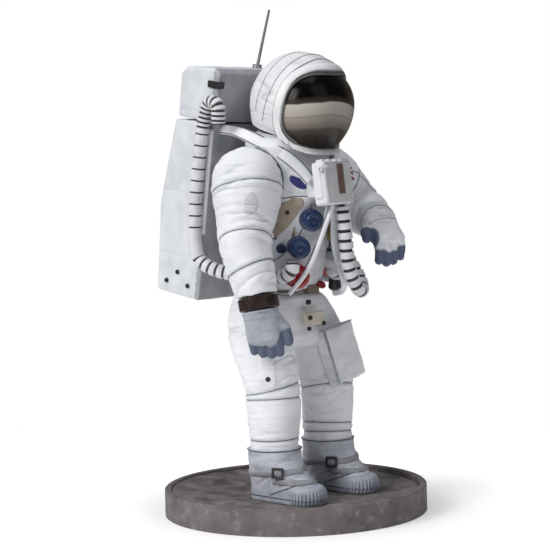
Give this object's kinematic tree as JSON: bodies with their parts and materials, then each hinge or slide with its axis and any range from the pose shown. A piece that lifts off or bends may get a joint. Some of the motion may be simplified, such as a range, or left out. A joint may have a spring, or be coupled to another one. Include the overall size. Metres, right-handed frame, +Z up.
{
  "type": "action figure",
  "caption": "Articulated space-suited figure with backpack, hoses and closed visor, standing on a round crater-textured display stand.",
  "frame": {"origin": "centre of the display stand's underside", "axes": "+Z up through the stand's centre; the figure faces -Y, so its right hand is on -X"},
  "size_m": [0.094, 0.0961, 0.1801],
  "materials": {
    "suit": "matt moulded suit fabric texture",
    "suit_shade": "matt",
    "boot": "matt",
    "boot_rubber": "matt ribbed",
    "strap": "matt",
    "glove": "matt",
    "tan": "matt",
    "belt": "satin",
    "pack": "matt",
    "pack_front": "matt",
    "blue": "satin",
    "red": "satin",
    "white_hard": "satin",
    "label": "matt",
    "hose": "satin ribbed, black grooves",
    "black": "satin",
    "metal": "brushed",
    "ring_metal": "dark bronze, satin",
    "visor": "mirror gloss, dark",
    "frame": "satin",
    "rock": "matt mottled grey-brown",
    "cover": "matt"
  },
  "bodies": {
    "stand": {"stand_rim": "rock", "moon_ground": "rock", "stand_cover": "cover", "boot_screws": "metal", "boot_sole_right": "boot_rubber", "boot_sole_left": "boot_rubber", "boot_upper_right": "boot", "boot_upper_left": "boot", "boot_straps": "strap", "shin_right": "suit", "shin_left": "suit", "knee_right": "suit", "knee_left": "suit", "thigh_right": "suit", "thigh_left": "suit", "thigh_pocket_left": "suit", "pelvis": "suit", "hip_panel": "tan", "waist_post": "black"},
    "torso": {"torso_front": "suit", "torso_back": "suit", "neck_ring": "suit_shade", "connectors_blue": "blue", "connectors_red": "red", "waist_belt": "belt", "control_unit": "white_hard", "control_label": "label", "chest_straps": "suit_shade", "hose_right": "hose", "hose_left": "hose", "hose_front": "hose", "tether": "white_hard", "backpack_shell": "pack", "backpack_front": "pack_front", "upper_pack_shell": "pack", "upper_pack_front": "pack_front", "backpack_mount": "black", "pack_spacers": "black", "pack_snaps": "black", "pack_latches": "black", "antenna_socket": "metal", "antenna": "metal"},
    "head": {"helmet_hood": "suit", "visor_frame": "frame", "visor": "visor", "neck_plug": "black"},
    "shoulder_right": {"shoulder_hub_right": "black"},
    "upper_arm_right": {"upper_arm_right": "suit", "shoulder_pin_right": "metal"},
    "forearm_right": {"forearm_right": "suit", "elbow_pin_right": "metal", "wrist_ring_right": "ring_metal"},
    "hand_right": {"glove_right": "glove"},
    "shoulder_left": {"shoulder_hub_left": "black"},
    "upper_arm_left": {"upper_arm_left": "suit", "shoulder_pin_left": "metal"},
    "forearm_left": {"forearm_left": "suit", "elbow_pin_left": "metal", "wrist_ring_left": "ring_metal"},
    "hand_left": {"glove_left": "glove"}
  },
  "joints": [
    {"name": "waist_turn", "type": "hinge", "parent": "stand", "child": "torso", "pos_m": [0, 0.0065, 0.08], "axis": [0, -0.1599, 0.9871], "range_deg": [-15, 15]},
    {"name": "neck_turn", "type": "hinge", "parent": "torso", "child": "head", "pos_m": [0, -0.00393, 0.13504], "axis": [0, -0.1599, 0.9871], "range_deg": [-20, 20]},
    {"name": "shoulder_swing_right", "type": "hinge", "parent": "torso", "child": "shoulder_right", "pos_m": [-0.0203, 0.00051, 0.11823], "axis": [-1, 0, 0], "range_deg": [0, 50]},
    {"name": "shoulder_raise_right", "type": "hinge", "parent": "shoulder_right", "child": "upper_arm_right", "pos_m": [-0.0203, 0.00051, 0.11823], "axis": [0, 0.9871, 0.1599], "range_deg": [0, 60]},
    {"name": "elbow_right", "type": "hinge", "parent": "upper_arm_right", "child": "forearm_right", "pos_m": [-0.0264, -0.005, 0.097], "axis": [-1, 0.0019, 0.0086], "range_deg": [0, 60]},
    {"name": "wrist_right", "type": "hinge", "parent": "forearm_right", "child": "hand_right", "pos_m": [-0.0266, -0.0099, 0.0748], "axis": [-0.0088, -0.2155, -0.9765], "range_deg": [-40, 18]},
    {"name": "shoulder_swing_left", "type": "hinge", "parent": "torso", "child": "shoulder_left", "pos_m": [0.0203, 0.00051, 0.11823], "axis": [-1, 0, 0], "range_deg": [-10, 40]},
    {"name": "shoulder_raise_left", "type": "hinge", "parent": "shoulder_left", "child": "upper_arm_left", "pos_m": [0.0203, 0.00051, 0.11823], "axis": [0, -0.9871, -0.1599], "range_deg": [0, 40]},
    {"name": "elbow_left", "type": "hinge", "parent": "upper_arm_left", "child": "forearm_left", "pos_m": [0.0375, -0.0018, 0.1065], "axis": [-0.4523, 0.4729, -0.7561], "range_deg": [-45, 6]},
    {"name": "wrist_left", "type": "hinge", "parent": "forearm_left", "child": "hand_left", "pos_m": [0.0275, -0.0184, 0.1021], "axis": [-0.5032, -0.8353, -0.2214], "range_deg": [-40, 40]}
  ]
}
